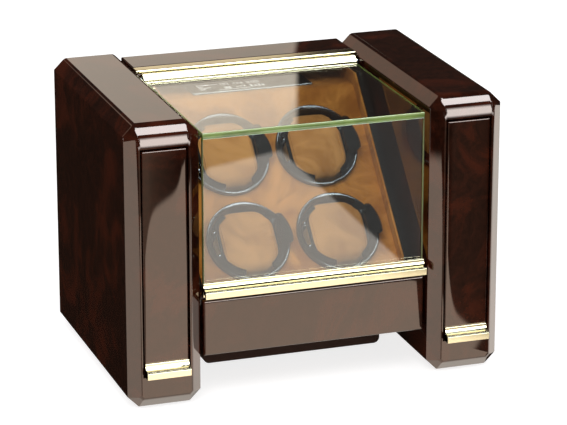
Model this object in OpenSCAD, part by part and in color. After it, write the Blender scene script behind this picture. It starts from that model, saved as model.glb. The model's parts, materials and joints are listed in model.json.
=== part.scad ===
// Watch winder box: two drawer towers carry a centre bay with four winding rotors
// under a hinged glass hood, above a shallow accessory drawer.
// Origin: centre of the footprint at floor level. X to the right, -Y to the front, Z up.

/* [Cabinet] */
// Overall width across both towers
cab_w = 316; // [310:1:400]
// Overall height, felt pads included
cab_h = 235; // [230:1:300]
// Depth of each tower without its pull
cab_d = 228; // [222:1:290]
// Width of each tower
tower_w = 61; // [56:1:80]
// Width of the 45 degree bevel along every tower edge
bevel = 9.3; // [2:0.1:10]
// Thickness of the felt pads under the towers
pad_t = 1.2; // [0.8:0.1:3]
// Length of each felt pad
pad_l = 30; // [20:1:60]
// Gap between a tower and the centre bay
bay_gap = 3.5; // [2:0.1:6]
// Thickness of the centre bay's side panels
side_t = 6.5; // [5:0.1:10]
// Thickness of the centre bay's floor and back
board_t = 6; // [4:0.1:10]
// How far the top rail lies below the tower tops
rail_drop = 6; // [4:0.5:9]
// Radius of the bolts that join the bay to the towers
bolt_r = 2.5; // [2:0.1:4]
// Radius of the back panel's screws
screw_r = 1.5; // [1:0.1:2]

/* [Tower drawers] */
// Width of the opening in a tower's front
slot_w = 39.4; // [34:0.1:46]
// Solid foot of the tower below the opening
slot_foot = 28.6; // [20:0.1:40]
// Solid head of the tower above the opening
slot_head = 17.6; // [12:0.1:30]
// Gap round each drawer front
front_gap = 1.5; // [0.8:0.1:2.5]
// Thickness of the drawer fronts
front_t = 12; // [8:0.5:16]
// Thickness of a tower's back wall
tower_back_t = 10; // [6:0.5:16]
// Thickness of the tray's floor, back and shelf boards
tray_t = 5; // [3:0.5:8]
// Thickness of the tray's side board
tray_side_t = 3; // [2:0.5:5]
// Height of the lip that keeps things in a bin
bin_lip_h = 14; // [6:1:25]
// Height of the drawer runner
runner_h = 4; // [3:0.5:6]
// Running clearance under and round sliding pieces
slide_gap = 0.3; // [0.2:0.05:0.6]

/* [Pulls] */
// How far a pull stands proud of the face it is on
pull_out = 8; // [6:0.1:12]
// Height of a pull
pull_h = 11.4; // [9:0.1:16]
// Wall thickness of the pull's extrusion
pull_t = 1.6; // [1:0.1:2.2]

/* [Accessory drawer] */
// Height of the bay's underside above the floor
bay_foot = 37.5; // [30:0.5:50]
// Height of the accessory drawer's front
fascia_h = 46; // [40:0.5:60]
// Thickness of the accessory drawer's front
fascia_t = 10; // [6:0.5:12]
// How far the accessory drawer's front stands behind the towers' fronts
fascia_setback = 9.6; // [6:0.1:14]
// Wall thickness of the accessory drawer
box_t = 4; // [3:0.5:6]

/* [Glass hood] */
// Thickness of the glass
glass_t = 4.5; // [3:0.1:6]
// How far the front pane stands behind the towers' fronts
hood_setback = 10.7; // [9:0.1:16]
// How far the top pane lies below the tower tops
hood_drop = 12.5; // [10.5:0.1:18]
// Distance from the towers' backs to the hinge axis
hinge_back = 52.5; // [44:0.5:60]
// Radius of the hood's rear rail
rail_r = 5.2; // [4.5:0.1:7]
// Width of the brass strip behind the hood's rail
strip_w = 11; // [8:0.5:14]
// Thickness of that strip
strip_t = 3; // [1.5:0.1:4]
// Radius of the hinge pins
pin_r = 2; // [1.5:0.1:2.5]
// Radial clearance of every shaft or pin in its bore
run_gap = 0.05; // [0.03:0.01:0.08]

/* [Rotor bed] */
// Distance from the side panels' front edges to the bed's lower edge
bed_setback = 12.8; // [10:0.1:20]
// Distance from the towers' backs to the bend in the bay's rim
bend_back = 75.5; // [66:0.5:84]
// Drop from the tower tops to the bay's rim
rim_drop = 20; // [17:0.5:30]
// Depth of the suede bed below the side panels' upper edges
bed_depth = 10; // [8:0.5:12]
// Thickness of the suede lining
suede_t = 1.5; // [1:0.1:2.5]
// Thickness of the boards under the suede
bed_t = 5; // [4:0.5:7]
// Radius of the bend between the sloping bed and the shelf behind it
bend_r = 15; // [10:1:20]
// Drop from the rim of the bay to the shelf
shelf_drop = 11; // [9:0.5:14]
// Width of the control display
display_w = 105.6; // [80:0.1:130]
// Depth of the control display
display_d = 32; // [24:0.5:36]
// Thickness of the control display
display_t = 1.8; // [1.2:0.1:3]

/* [Rotors] */
// Distance between rotor axes, across and up the bed
rotor_pitch = 77.5; // [76:0.5:84]
// Distance of the lower rotor axes from the bed's lower edge
rotor_low = 39.8; // [38:0.1:60]
// Radius of the bezel ring
ring_r = 35; // [33:0.1:36]
// Outer radius of the cup
cup_r = 33; // [31:0.1:34]
// Wall thickness of the cup
cup_t = 1.5; // [1:0.1:2.5]
// Depth of the cup's back below the side panels' upper edges
cup_depth = 40; // [36:0.5:44]
// Teeth on the wheel behind each cup
wheel_teeth = 42; // [36:1:44]
// Teeth on each motor pinion
pinion_teeth = 14; // [12:1:16]
// Face width of the wheel
wheel_w = 7; // [5:0.5:9]
// Radius of the rotor shaft
shaft_r = 3; // [2.5:0.1:4]
// Gap between each end of the watch cushion and the cup's wall
cushion_gap = 7.5; // [6.5:0.1:12]
// Radius of a gear motor's can
motor_r = 12; // [9:0.5:14]
// Length of a gear motor's can
motor_l = 20; // [15:0.5:26]

/* [Power] */
// Half width of the battery housing under the bay
housing_half_w = 77; // [60:1:80]
// Height of the battery housing's underside above the floor
housing_foot = 8.5; // [8:0.5:16]
// Distance of the housing's front behind the towers' fronts
housing_setback = 65; // [40:1:70]
// Wall thickness of the battery housing
housing_t = 2.5; // [2:0.1:4]
// Radius of one battery cell
cell_r = 7.1; // [5:0.1:8]
// Length of one battery cell
cell_l = 50; // [44:0.5:56]

/* [Hidden] */
$fn = 64;
cut = 1; // how far a cutting shape runs past the face it opens

// Main planes
front_inset = 0.5;
front_y = -(cab_d + pull_out - front_inset) / 2 + pull_out - front_inset;
back_y = front_y + cab_d;
tower_in = cab_w / 2 - tower_w;
tower_x = cab_w / 2 - tower_w / 2;
bay_out = tower_in - bay_gap;
bay_in = bay_out - side_t;
fascia_y = front_y + fascia_setback;
fascia_top = bay_foot + fascia_h;
fascia_half_w = bay_out + 0.4;
pad_margin = 2;
pad_half_w = tower_w / 2 - bevel - pad_margin;
back_inset = 2;
inner_back = back_y - back_inset - board_t;

// Tower openings and what slides in them
slot_top = cab_h - slot_head;
tray_w = slot_w - 2 * front_gap;
front_low = slot_foot + 0.5;
drawer_face = front_y + front_inset;
edge_c = 0.8;
tray_low = slot_foot + runner_h + slide_gap;
runner_half_w = 7;
tray_head_gap = 2;
tray_top = slot_top - tray_head_gap;
tray_back_gap = 4;
tray_l = cab_d - tower_back_t - front_t - tray_back_gap;
tray_mid = (tray_low + tray_top) / 2;

// Sill and hood
sill_gap = 0.8;
sill_nose_h = 2.4;
sill_top = fascia_top + sill_gap + sill_nose_h;
sill_h = 10;
sill_front = front_y + 12;
panel_front = fascia_y + fascia_t + 0.4;
hood_y = front_y + hood_setback;
hood_top = cab_h - hood_drop;
hood_low = sill_top + 0.5;
pane_half_w = bay_out - 0.3;
hinge_y = back_y - hinge_back;
hinge_z = hood_top - 0.2;
jaw_l = 7;
jaw_t = 1.4;
pull_half_w = bay_out + 0.5;
jaw_grip = 4.5;
pin_out = 8;
bush_r = pin_r + run_gap + 1.2;
pull_seat = 0.6;
rail_back = hinge_y + rail_r + 0.5;
rail_top = cab_h - rail_drop;
notch_back = hinge_y + 8.5;

// Sloping bed: a line from the sill's back up to the rim's bend
rim_front = panel_front + bed_setback;
rim_bend = back_y - bend_back;
rim_top = cab_h - rim_drop;
back_rise = 4;
back_top = rim_top + back_rise;
tilt = atan2(rim_top - sill_top, rim_bend - rim_front);
shelf_z = rim_top - shelf_drop;
bed_skin = -bed_depth;
bed_under = -bed_depth - suede_t - bed_t;
bed_start = -2;
display_gap = 3.05;
sill_back = bed_y(bed_start, bed_skin) - slide_gap;
bed_corner = (shelf_z - sill_top + bed_depth * cos(tilt)) / sin(tilt);
bend_y = bed_y(bed_corner, bed_skin) + bend_r * tan(tilt / 2);
bend_z = shelf_z - bend_r;
bed_end = bed_corner - bend_r * tan(tilt / 2) - 2;
display_y = bend_y + display_gap;
circuit_t = 1.6;
board_low = shelf_z - suede_t - bed_t - 5;
lining_edge = 1.5;
lining_rim = 0.5;

// Rotors and their drive
gear_m = 1;
addendum = 0.8;
dedendum = 1.1;
pressure = 20;
backlash = 0.12;
axis_gap = gear_m * (wheel_teeth + pinion_teeth) / 2;
rotor_x = [-1, 1, -1, 1] * rotor_pitch / 2;
rotor_s = [1, 1, 0, 0] * rotor_pitch;
hole_r = cup_r + 1;
flange_low = bed_skin + 0.8;
ring_top = bed_skin + 5.5;
ring_c = 1;
cup_floor_t = 2;
wheel_top = -cup_depth - 1.5;
wheel_low = wheel_top - wheel_w;
pinion_in = 0.5;
plate_t = 2;
plate_top = wheel_low - 3;
plate_low = plate_top - plate_t;
boss_r = 6;
boss_l = 5;
motor_boss_r = 3.5;
motor_shaft_r = 1.5;
shaft_in = 6;
plate_half_w = bay_in - 6.75;
plate_s0 = rotor_low - 21;
plate_s1 = rotor_low + rotor_pitch + axis_gap + 14;
post_r = 3.5;
post_x = plate_half_w - 3.6;
post_places = [
    [-post_x, plate_s0 + 4], [post_x, plate_s0 + 4], [-post_x, plate_s1 - 10], [post_x, plate_s1 - 10],
    [0, rotor_low + rotor_pitch / 2]
];
cup_low_z = bed_z(rotor_low - cup_r, -cup_depth);

// Watch holders, measured from the rotor's own axis
cup_in = cup_r - cup_t;
cushion_w = 2 * (cup_in - cushion_gap);
cushion_r = cup_in - 2.2;
cushion_half_s = 28;
holder_low = -cup_depth + cup_floor_t + slide_gap;
bar_t = 3;
end_t = 2.5;
end_gap = 0.3;
end_half_s = 11;
cushion_low = holder_low + bar_t + 0.3;
cushion_top = ring_top - 0.5;
bar_half_s = 9;
tab_w = 7.5;
tab_l = 26;
tab_t = 3.5;
tab_s = 5;

// Accessory drawer
glide_h = 1.2;
base_top = bay_foot + board_t;
box_low = base_top + glide_h + slide_gap;
cup_clear = 3.4;
box_top = cup_low_z - cup_clear;
box_half_w = bay_in - 3;
box_floor_t = 3;
box_front = fascia_y + fascia_t;
box_back = inner_back - 18;
box_floor = box_low + box_floor_t;
accessory_lining_t = 1;

// Power
housing_front = front_y + housing_setback;
housing_back = inner_back - 2;
door_half_w = 50;
door_y0 = housing_front + 20;
door_y1 = door_y0 + 2 * 44;
inlet_x = -46;
inlet_z = bay_foot + 34;
inlet_r = 5.5;
inlet_l = 14;
jack_r = 2.85;
jack_l = 11;
jack_pin_r = 1;
switch_x = 46;
switch_w = 19;
switch_h = 13;
rocker_turn = 9;
bezel_w = 1.5;
rocker_half_w = switch_w / 2 - bezel_w;
rocker_half_h = switch_h / 2 - bezel_w;
rocker_y = inner_back + board_t - 5;
flange_t = 1.2;

// Fasteners
fit_gap = 0.1;
spacer_r = 8;
bolt_wall = 4.3;
bolt_bite = (tower_w - slot_w) / 2 - bolt_wall;
bolt_head_r = 4.2;
bolt_head_l = 2;
screw_bite = 8;
screw_in = side_t / 2;
screw_head_r = 2.8;
screw_head_l = 0.9;
bolt_low_z = bay_foot + 33;
bolt_places = [[housing_front - 4, bolt_low_z], [back_y - 28, bolt_low_z], [back_y - 28, shelf_z - 14]];
screw_places = [for (x = [-1, 1]) for (z = [bay_foot + 8, (bay_foot + rim_top) / 2, rim_top - 6])
    [x * (bay_out - screw_in), z]];

// Height and depth of a point on the sloping bed: s up the slope, h out of it
function bed_y(s, h) = rim_front + s * cos(tilt) - h * sin(tilt);
function bed_z(s, h) = sill_top + s * sin(tilt) + h * cos(tilt);
function bed(s, h) = [bed_y(s, h), bed_z(s, h)];

// Points of an arc about c from angle a to angle b
function polar(r, a) = r * [cos(a), sin(a)];
function arc(c, r, a, b, n = 8) = [for (i = [0:n]) c + polar(r, a + (b - a) * i / n)];

// Involute tooth: half its angle at radius r, for n teeth
function inv(a) = (tan(a) * 180 / PI) - a;
function base_r(n) = n * gear_m / 2 * cos(pressure);
function half_tooth(n, r) = 90 / n - backlash / (n * gear_m) * 180 / PI
    + inv(pressure) - inv(acos(min(1, base_r(n) / r)));

module box(x0, x1, y0, y1, z0, z1) translate([x0, y0, z0]) cube([x1 - x0, y1 - y0, z1 - z0]);

// Extrudes a (y, z) outline along X
module along_x(x0, x1) translate([x0, 0, 0]) rotate([90, 0, 90]) linear_extrude(x1 - x0) children();

module rod_x(x0, x1, y, z, r) translate([x0, y, z]) rotate([0, 90, 0]) cylinder(h = x1 - x0, r = r);

// Places children in the bed's own axes: X across, Y up the slope, Z out of the bed
module on_bed(x, s, h) translate([0, rim_front, sill_top]) rotate([tilt, 0, 0])
    translate([x, s, h]) children();

module on_rotor(i, h) on_bed(rotor_x[i], rotor_low + rotor_s[i], h) children();

module on_motor(i, h) on_bed(rotor_x[i], rotor_low + rotor_s[i] + axis_gap, h) children();

module both_sides() {
    children();
    mirror([1, 0, 0]) children();
}

module bevelled_square(a, b, c) polygon([
    [c, 0], [a - c, 0], [a, c], [a, b - c], [a - c, b], [c, b], [0, b - c], [0, c]
]);

module bevelled_box(x0, x1, y0, y1, z0, z1, c) translate([x0, y0, z0]) intersection() {
    linear_extrude(z1 - z0) bevelled_square(x1 - x0, y1 - y0, c);
    along_x(0, x1 - x0) bevelled_square(y1 - y0, z1 - z0, c);
    translate([0, y1 - y0, 0]) rotate([90, 0, 0]) linear_extrude(y1 - y0)
        bevelled_square(x1 - x0, z1 - z0, c);
}

module gear(n, w) {
    pitch_r = n * gear_m / 2;
    tip = pitch_r + addendum;
    low = max(base_r(n), pitch_r - dedendum);
    flank = [for (k = [0:3]) low + (tip - low) * k / 3];
    root = pitch_r - dedendum;
    linear_extrude(w) polygon([for (i = [0:n - 1]) each concat(
        [polar(root, i * 360 / n - half_tooth(n, low))],
        [for (r = flank) polar(r, i * 360 / n - half_tooth(n, r))],
        [for (k = [3:-1:0]) polar(flank[k], i * 360 / n + half_tooth(n, flank[k]))],
        [polar(root, i * 360 / n + half_tooth(n, low))]
    )]);
}

// Towers
module pillar() {
    difference() {
        bevelled_box(-cab_w / 2, -tower_in, front_y, back_y, pad_t, cab_h, bevel);
        box(-tower_x - slot_w / 2, -tower_x + slot_w / 2, front_y - cut, back_y - tower_back_t,
            slot_foot, slot_top);
        rod_x(-tower_in - pin_out - slide_gap, -tower_in + cut, hinge_y, hinge_z, bush_r);
        for (p = bolt_places)
            rod_x(-tower_in - bolt_bite - 0.5, -tower_in + cut, p[0], p[1], bolt_r + fit_gap);
    }
}
module left_pillar() color("#2a140e") pillar();
module right_pillar() color("#2a140e") mirror([1, 0, 0]) pillar();

module felt_pads() color("#1b1a1a") both_sides() for (y = [front_y + bevel + 4, back_y - bevel - 4 - pad_l])
    box(-tower_x - pad_half_w, -tower_x + pad_half_w, y, y + pad_l, 0, pad_t);

// Centre bay
module side_panel() difference() {
    along_x(-bay_out, -bay_in) polygon([
        [panel_front, bay_foot], [inner_back, bay_foot], [inner_back, back_top],
        [notch_back, back_top], [notch_back, rim_top], [rim_bend, rim_top],
        [rim_front, sill_top], [panel_front, sill_top - 0.7]
    ]);
    for (p = bolt_places) rod_x(-bay_out - cut, -bay_in + cut, p[0], p[1], bolt_r + fit_gap);
    for (p = screw_places) translate([p[0], inner_back - screw_bite - 1, p[1]]) rotate([-90, 0, 0])
        cylinder(h = screw_bite + 1 + cut, r = screw_r + fit_gap);
}
module left_side_panel() color("#241310") side_panel();
module right_side_panel() color("#241310") mirror([1, 0, 0]) side_panel();

module bay_spacers() color("#8c8c8c") both_sides() for (p = bolt_places) difference() {
    rod_x(-tower_in, -bay_out, p[0], p[1], spacer_r);
    rod_x(-tower_in - cut, -bay_out + cut, p[0], p[1], bolt_r + fit_gap);
}

module bay_bolts() color("#77787a") both_sides() for (p = bolt_places) {
    rod_x(-tower_in - bolt_bite, -bay_in, p[0], p[1], bolt_r);
    rod_x(-bay_in, -bay_in + bolt_head_l, p[0], p[1], bolt_head_r);
}

module base_board() color("#30211b") box(-bay_in, bay_in, panel_front, inner_back, bay_foot, base_top);

module back_panel() color("#1d1512") difference() {
    box(-bay_out, bay_out, inner_back, inner_back + board_t, bay_foot, back_top);
    translate([inlet_x, inner_back - cut, inlet_z]) rotate([-90, 0, 0])
        cylinder(h = board_t + 2 * cut, r = inlet_r);
    box(switch_x - switch_w / 2, switch_x + switch_w / 2, inner_back - cut, inner_back + board_t + cut,
        inlet_z - switch_h / 2, inlet_z + switch_h / 2);
    for (p = screw_places) translate([p[0], inner_back - cut, p[1]]) rotate([-90, 0, 0])
        cylinder(h = board_t + 2 * cut, r = screw_r + fit_gap);
}

module back_screws() color("#8f9092") for (p = screw_places) translate([p[0], inner_back + board_t, p[1]])
    rotate([90, 0, 0]) {
        translate([0, 0, -screw_head_l]) cylinder(h = screw_head_l, r = screw_head_r);
        cylinder(h = board_t + screw_bite, r = screw_r);
    }

module top_rail() color("#2a140e") along_x(-tower_in, tower_in) polygon([
    [rail_back, back_top], [back_y, back_top], [back_y, rail_top], [rail_back + strip_w, rail_top],
    [rail_back + strip_w, rail_top - strip_t], [rail_back, rail_top - strip_t]
]);

module hinge_strip() color("#d9bd77")
    box(-tower_in, tower_in, rail_back, rail_back + strip_w, rail_top - strip_t, rail_top);

module hinge_bushes() color("#b08d4a") both_sides() difference() {
    rod_x(-tower_in - pin_out, -tower_in, hinge_y, hinge_z, bush_r);
    rod_x(-tower_in - pin_out - cut, -tower_in + cut, hinge_y, hinge_z, pin_r + run_gap);
}

module front_sill() color("#15100f") along_x(-bay_in, bay_in) polygon([
    [sill_front, sill_top - sill_nose_h], [panel_front, sill_top - sill_nose_h],
    [panel_front, sill_top - sill_h], [sill_back, sill_top - sill_h], [sill_back, sill_top],
    [sill_front, sill_top]
]);

// Bed
module rotor_holes() for (i = [0:3]) on_rotor(i, bed_under - cut)
    cylinder(h = bed_t + suede_t + 2 * cut, r = hole_r);

module rotor_panel() color("#4a3526") difference() {
    on_bed(-bay_in, bed_start, bed_under) cube([2 * bay_in, bed_end - bed_start, bed_t]);
    rotor_holes();
}

module shelf_board() color("#4a3526")
    box(-bay_in, bay_in, bend_y + 2, inner_back, shelf_z - suede_t - bed_t, shelf_z - suede_t);

// Outline of the suede's upper face, from the shelf's back down to the bed's lower edge
bed_top_line = concat(
    [[inner_back, shelf_z]],
    arc([bend_y, bend_z], bend_r, 90, 90 + tilt),
    [bed(bed_start, bed_skin)]
);
bed_low_line = concat(
    [bed(bed_start, bed_skin - suede_t)],
    arc([bend_y, bend_z], bend_r - suede_t, 90 + tilt, 90),
    [[inner_back, shelf_z - suede_t]]
);
module suede_lining() color("#b98a56") {
    difference() {
        along_x(-bay_in, bay_in) polygon(concat(bed_top_line, bed_low_line));
        rotor_holes();
    }
    both_sides() along_x(-bay_in, -bay_in + lining_edge) polygon(concat(bed_top_line, [
        bed(bed_start + 11, -lining_rim), [rim_bend + 0.2, rim_top - lining_rim],
        [inner_back, rim_top - lining_rim]
    ]));
}

module display_panel() color("#191a1c")
    bevelled_box(-display_w / 2, display_w / 2, display_y, display_y + display_d,
        shelf_z, shelf_z + display_t, 0.5);

module control_board() color("#2f6b3c") {
    y0 = display_y + 4;
    chip = 16;
    box(-40, 40, y0, y0 + 26, board_low - circuit_t, board_low);
    for (x = [-25, 5]) box(x, x + chip, y0 + 5, y0 + 17, board_low - circuit_t - 2.4, board_low - circuit_t);
    for (x = [-36, 36]) translate([x, y0 + 12, board_low])
        cylinder(h = shelf_z - suede_t - bed_t - board_low, r = 2.5);
}

// Drive
module chassis_plate() color("#9a9c9e") difference() {
    union() {
        on_bed(-plate_half_w, plate_s0, plate_low) cube([2 * plate_half_w, plate_s1 - plate_s0, plate_t]);
        for (i = [0:3]) on_rotor(i, plate_low - boss_l) cylinder(h = boss_l + cut, r = boss_r);
    }
    for (i = [0:3]) {
        on_rotor(i, plate_low - boss_l - cut)
            cylinder(h = boss_l + plate_t + 2 * cut, r = shaft_r + run_gap);
        on_motor(i, plate_low - cut) cylinder(h = plate_t + 2 * cut, r = motor_boss_r);
    }
}

module chassis_pillars() color("#b9babc") for (p = post_places) on_bed(p[0], p[1], plate_top)
    cylinder(h = bed_under - plate_top, r = post_r);

module rotor_motors() color("#a7a9ab") for (i = [0:3]) on_motor(i, plate_low) difference() {
    union() {
        translate([0, 0, -motor_l]) cylinder(h = motor_l, r = motor_r);
        cylinder(h = plate_t, r = motor_boss_r);
    }
    translate([0, 0, -shaft_in - 2]) cylinder(h = shaft_in + 2 + plate_t + cut, r = motor_shaft_r + run_gap);
}

module pinion(i) color("#e8e4da") {
    low = wheel_low + pinion_in;
    on_motor(i, low) rotate([0, 0, -90]) gear(pinion_teeth, wheel_w - 2 * pinion_in);
    on_motor(i, plate_low - shaft_in) cylinder(h = low + shaft_in - plate_low, r = motor_shaft_r);
}

module rotor(i) color("#161515") {
    on_rotor(i, 0) difference() {
        union() {
            translate([0, 0, -cup_depth]) cylinder(h = cup_depth + ring_top - ring_c, r = cup_r);
            translate([0, 0, flange_low]) cylinder(h = ring_top - flange_low - ring_c, r = ring_r);
            translate([0, 0, ring_top - ring_c]) cylinder(h = ring_c, r1 = ring_r, r2 = ring_r - ring_c);
        }
        translate([0, 0, -cup_depth + cup_floor_t]) cylinder(h = cup_depth + cut, r = cup_in);
    }
    on_rotor(i, wheel_low) rotate([0, 0, 90 + 180 / wheel_teeth]) gear(wheel_teeth, wheel_w);
    on_rotor(i, wheel_top) cylinder(h = -cup_depth - wheel_top, r = wheel_teeth * gear_m / 2 - 4);
    on_rotor(i, plate_top + slide_gap) cylinder(h = wheel_low - plate_top - slide_gap, r = shaft_r + 2);
    on_rotor(i, plate_low - boss_l - 2) cylinder(h = wheel_low - plate_low + boss_l + 2, r = shaft_r);
}

// Watch holders
module holder_frame(i) color("#1b1a19") on_rotor(i, holder_low) {
    end_x = cushion_w / 2 + end_gap;
    end_h = ring_top + 0.5 - holder_low;
    translate([-end_x - end_t, -bar_half_s, 0]) cube([2 * (end_x + end_t), 2 * bar_half_s, bar_t]);
    translate([end_x, -end_half_s, bar_t]) cube([end_t, 2 * end_half_s, end_h - bar_t]);
    difference() {
        translate([-end_x - end_t, -end_half_s, bar_t]) cube([end_t, 2 * end_half_s, end_h - bar_t]);
        translate([-end_x - end_t - cut, -end_half_s + 4, bar_t + 6])
            cube([end_t + 2 * cut, 2 * end_half_s - 8, 16]);
    }
    translate([end_x + 0.6 + tab_w / 2, tab_s, end_h]) linear_extrude(tab_t) {
        for (side = [-1, 1]) translate([0, side * (tab_l - tab_w) / 2]) circle(r = tab_w / 2);
        square([tab_w, tab_l - tab_w], center = true);
    }
}

module holder_cushion(i) color("#c39a68") on_rotor(i, cushion_low)
    linear_extrude(cushion_top - cushion_low) intersection() {
        circle(r = cushion_r);
        square([cushion_w, 2 * cushion_half_s], center = true);
    }

// Pull: a back flange, a shelf falling forwards and a lip with a finger gap behind it
module pull(half_w) along_x(-half_w, half_w) polygon([
    [0, 0], [-pull_t, 0], [-pull_t, pull_h * 0.42], [-pull_out + pull_t, pull_h * 0.38],
    [-pull_out + pull_t, 0], [-pull_out, 0], [-pull_out, pull_h * 0.46], [-pull_out + 0.7, pull_h * 0.53],
    [-pull_t - 2.4, pull_h * 0.6], [-pull_t - 0.8, pull_h * 0.68], [-pull_t, pull_h * 0.8],
    [-pull_t, pull_h], [0, pull_h]
]);

// Tower drawers
module drawer_front() translate([-tower_x, 0, 0])
    bevelled_box(-tray_w / 2, tray_w / 2, drawer_face, drawer_face + front_t, front_low, tray_top, edge_c);
module drawer_pull() translate([-tower_x, drawer_face, front_low]) pull(tray_w / 2);
module drawer_tray() translate([-tower_x, drawer_face + front_t, 0]) {
    x0 = -tray_w / 2;
    x1 = tray_w / 2;
    box(x1 - tray_side_t, x1, 0, tray_l, tray_low, tray_top);
    box(x0, x1, tray_l - tray_t, tray_l, tray_low, tray_top);
    for (z = [tray_low, tray_mid - tray_t / 2, tray_top - tray_t]) box(x0, x1, 0, tray_l, z, z + tray_t);
    for (z = [tray_low, tray_mid - tray_t / 2]) box(x0, x0 + 2, 0, tray_l, z, z + tray_t + bin_lip_h);
}
module left_drawer_front() color("#2a140e") drawer_front();
module left_drawer_pull() color("#dcc27e") drawer_pull();
module left_drawer_tray() color("#8d6a45") drawer_tray();
module right_drawer_front() color("#2a140e") mirror([1, 0, 0]) drawer_front();
module right_drawer_pull() color("#dcc27e") mirror([1, 0, 0]) drawer_pull();
module right_drawer_tray() color("#8d6a45") mirror([1, 0, 0]) drawer_tray();

module drawer_runners() color("#c9cbcd") both_sides() {
    box(-tower_x - runner_half_w, -tower_x + runner_half_w, front_y + front_t + 6, back_y - tower_back_t,
        slot_foot, slot_foot + runner_h);
    box(-box_half_w + 4, -box_half_w + 16, panel_front + 2, inner_back, base_top, base_top + glide_h);
}

// Accessory drawer
module accessory_front() color("#33201a")
    bevelled_box(-fascia_half_w, fascia_half_w, fascia_y, fascia_y + fascia_t, bay_foot, fascia_top, edge_c);
module accessory_box() color("#8d6a45") difference() {
    box(-box_half_w, box_half_w, box_front, box_back, box_low, box_top);
    box(-box_half_w + box_t, box_half_w - box_t, box_front + box_t, box_back - box_t,
        box_floor, box_top + cut);
}
module accessory_lining() color("#b98a56") {
    inset = box_t + slide_gap;
    box(-box_half_w + inset, box_half_w - inset, box_front + inset, box_back - inset,
        box_floor, box_floor + accessory_lining_t);
}

// Hood
module hood_top_pane() color("#9fc8a4", 0.35)
    box(-pane_half_w, pane_half_w, hood_y, hinge_y - jaw_l + jaw_grip, hood_top - glass_t, hood_top);
module hood_front_pane() color("#9fc8a4", 0.35)
    box(-pane_half_w, pane_half_w, hood_y, hood_y + glass_t, hood_low + pull_seat, hood_top - glass_t);
module hood_pull() color("#dcc27e") {
    translate([0, hood_y, hood_low]) pull(pull_half_w);
    box(-pull_half_w, pull_half_w, hood_y, hood_y + glass_t, hood_low, hood_low + pull_seat);
}
module hood_rail() color("#dcc27e") difference() {
    union() {
        rod_x(-pull_half_w, pull_half_w, hinge_y, hinge_z, rail_r);
        box(-pull_half_w, pull_half_w, hinge_y - jaw_l, hinge_y,
            hood_top - glass_t - jaw_t, hood_top + jaw_t);
    }
    box(-pull_half_w - cut, pull_half_w + cut, hinge_y - jaw_l - cut, hinge_y - jaw_l + jaw_grip,
        hood_top - glass_t, hood_top);
    for (x = [-1, 1]) rod_x(x * pull_half_w - pin_out, x * pull_half_w + pin_out, hinge_y, hinge_z, pin_r);
}
module hinge_pins() color("#c9c9c9") both_sides()
    rod_x(-tower_in - pin_out + 1, -pull_half_w + pin_out, hinge_y, hinge_z, pin_r);

// Power
module battery_housing() color("#1f1512") difference() {
    housing_block(0, housing_foot, bay_foot);
    housing_block(housing_t, housing_foot + housing_t, bay_foot + cut);
    box(-door_half_w, door_half_w, door_y0, door_y1, housing_foot - cut, housing_foot + housing_t + cut);
}
module housing_block(inset, z0, z1) translate([0, housing_back - inset, 0]) rotate([90, 0, 0])
    linear_extrude(housing_back - housing_front - 2 * inset) {
        w = housing_half_w - inset;
        r = 5;
        translate([-w, z0 + r]) square([2 * w, z1 - z0 - r]);
        translate([-w + r, z0]) square([2 * (w - r), r]);
        for (x = [-1, 1]) translate([x * (w - r), z0 + r]) circle(r = r);
    }
module battery_door() color("#171312")
    box(-door_half_w + slide_gap, door_half_w - slide_gap, door_y0 + slide_gap, door_y1 - slide_gap,
        housing_foot, housing_foot + housing_t);
module battery_cells() color("#c7a44c") for (k = [0:3])
    rod_x(-cell_l / 2, cell_l / 2, door_y0 + 20 + k * (2 * cell_r + 1.2), housing_foot + housing_t + cell_r,
        cell_r);

module power_inlet() color("#111111") translate([inlet_x, inner_back + board_t, inlet_z]) rotate([90, 0, 0])
    difference() {
        union() {
            translate([0, 0, -flange_t]) cylinder(h = flange_t, r = inlet_r + 2);
            cylinder(h = inlet_l, r = inlet_r);
        }
        difference() {
            translate([0, 0, -flange_t - cut]) cylinder(h = jack_l + cut, r = jack_r);
            translate([0, 0, -flange_t + 1]) cylinder(h = jack_l, r = jack_pin_r);
        }
    }

module switch_body() color("#141414") translate([switch_x, inner_back + board_t, inlet_z]) difference() {
    union() {
        box(-switch_w / 2 - bezel_w, switch_w / 2 + bezel_w, 0, flange_t,
            -switch_h / 2 - bezel_w, switch_h / 2 + bezel_w);
        box(-switch_w / 2, switch_w / 2, -board_t - 8, 0, -switch_h / 2, switch_h / 2);
    }
    box(-rocker_half_w - slide_gap, rocker_half_w + slide_gap, -board_t - 3, flange_t + cut,
        -rocker_half_h - slide_gap, rocker_half_h + slide_gap);
}
module switch_rocker() color("#222222") translate([switch_x, rocker_y, inlet_z])
    rotate([0, 0, rocker_turn / 2]) intersection() {
        box(-rocker_half_w, rocker_half_w, -3, 5.6, -rocker_half_h, rocker_half_h);
        translate([0, 0, -rocker_half_h]) cylinder(h = 2 * rocker_half_h, r = rocker_half_w);
    }

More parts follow.
